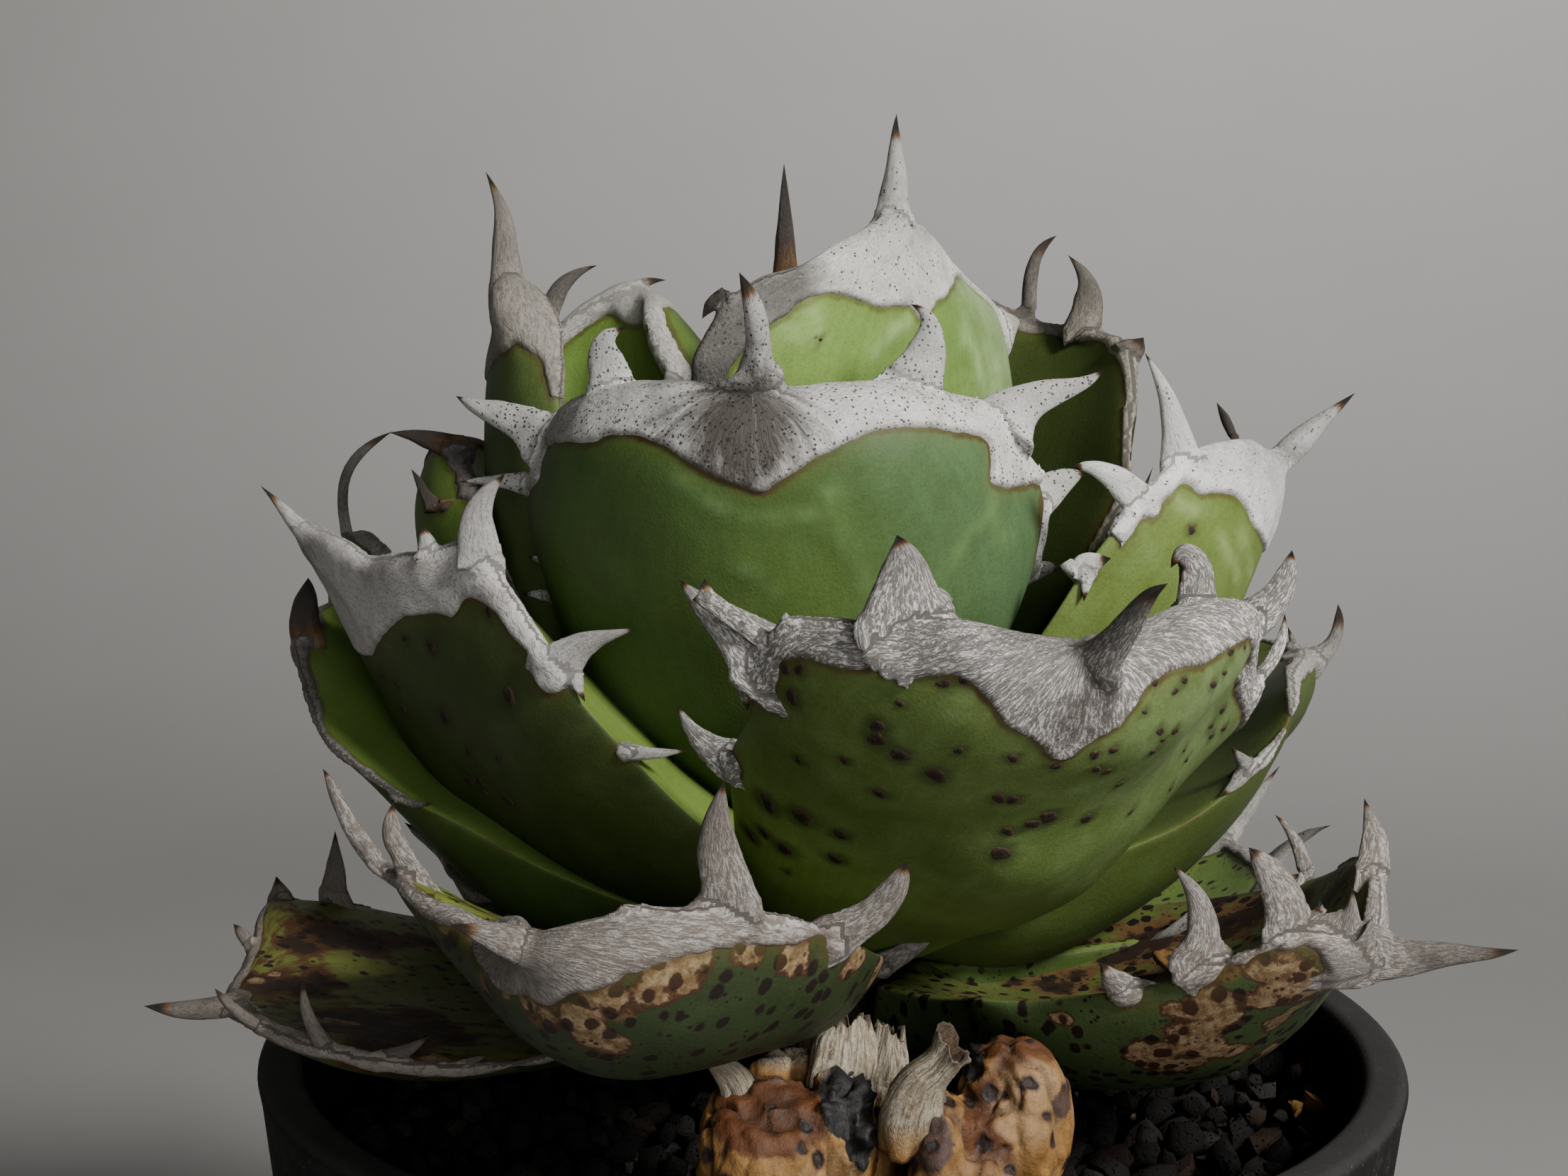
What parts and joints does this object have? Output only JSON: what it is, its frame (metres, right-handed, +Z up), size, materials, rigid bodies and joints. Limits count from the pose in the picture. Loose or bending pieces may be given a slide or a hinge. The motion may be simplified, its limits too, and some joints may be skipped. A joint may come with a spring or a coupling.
{
  "type": "potted agave plant",
  "caption": "Compact round agave rosette with thick toothed green leaves and pale corky margins, growing from lava gravel in a plain round tapered pot.",
  "frame": {"origin": "centre of the pot's flat base, on the surface it stands on", "axes": "+Z up along the pot's axis, -Y towards the viewer of the picture, +X to the viewer's right"},
  "size_m": [0.1588, 0.1872, 0.239],
  "materials": {
    "pot": "matte charcoal black with a fine moulded grain and a little dust",
    "soil": "loose dark potting mix, fully rough",
    "gravel": "rough porous lava grains, dark grey with a few tan ones",
    "stem": "matte fibrous stem, hidden between the leaves",
    "leaf_young": "satin bright green skin with a faint bloom and pale corky margins",
    "leaf": "satin green skin with a pitted grain, a bluish bloom, dark spots and pale corky margins",
    "leaf_old": "satin olive green skin with tan patches and brown spots, grey corky margins",
    "cork": "dry pale fibrous cork with dark flecks",
    "withered": "dry papery tissue, ochre to brown, crumpled"
  },
  "bodies": {
    "root": {"pot": "pot", "soil": "soil", "gravel": "gravel", "stem": "stem", "leaf_bud": "leaf_young", "leaf_top_front": "leaf_young", "leaf_top_back_right": "leaf_young", "leaf_top_left": "leaf_young", "leaf_top_back_left": "leaf_young", "leaf_upper_front": "leaf", "leaf_upper_right": "leaf", "leaf_upper_back_right": "leaf", "leaf_upper_left": "leaf", "leaf_middle_front_right": "leaf", "leaf_middle_front_left": "leaf", "leaf_middle_back": "leaf", "leaf_middle_right": "leaf", "leaf_middle_back_left": "leaf", "leaf_middle_left": "leaf", "leaf_lower_back_right": "leaf", "leaf_lower_back_left": "leaf", "leaf_bottom_front_left": "leaf_old", "leaf_bottom_right": "leaf_old", "leaf_bottom_left": "leaf_old", "leaf_bottom_back_right": "leaf_old", "leaf_bottom_back": "leaf_old", "leaf_bottom_back_left": "leaf_old", "withered_leaf_left": "withered", "withered_leaf_right": "withered", "dead_leaf_tip": "withered"}
  },
  "joints": []
}
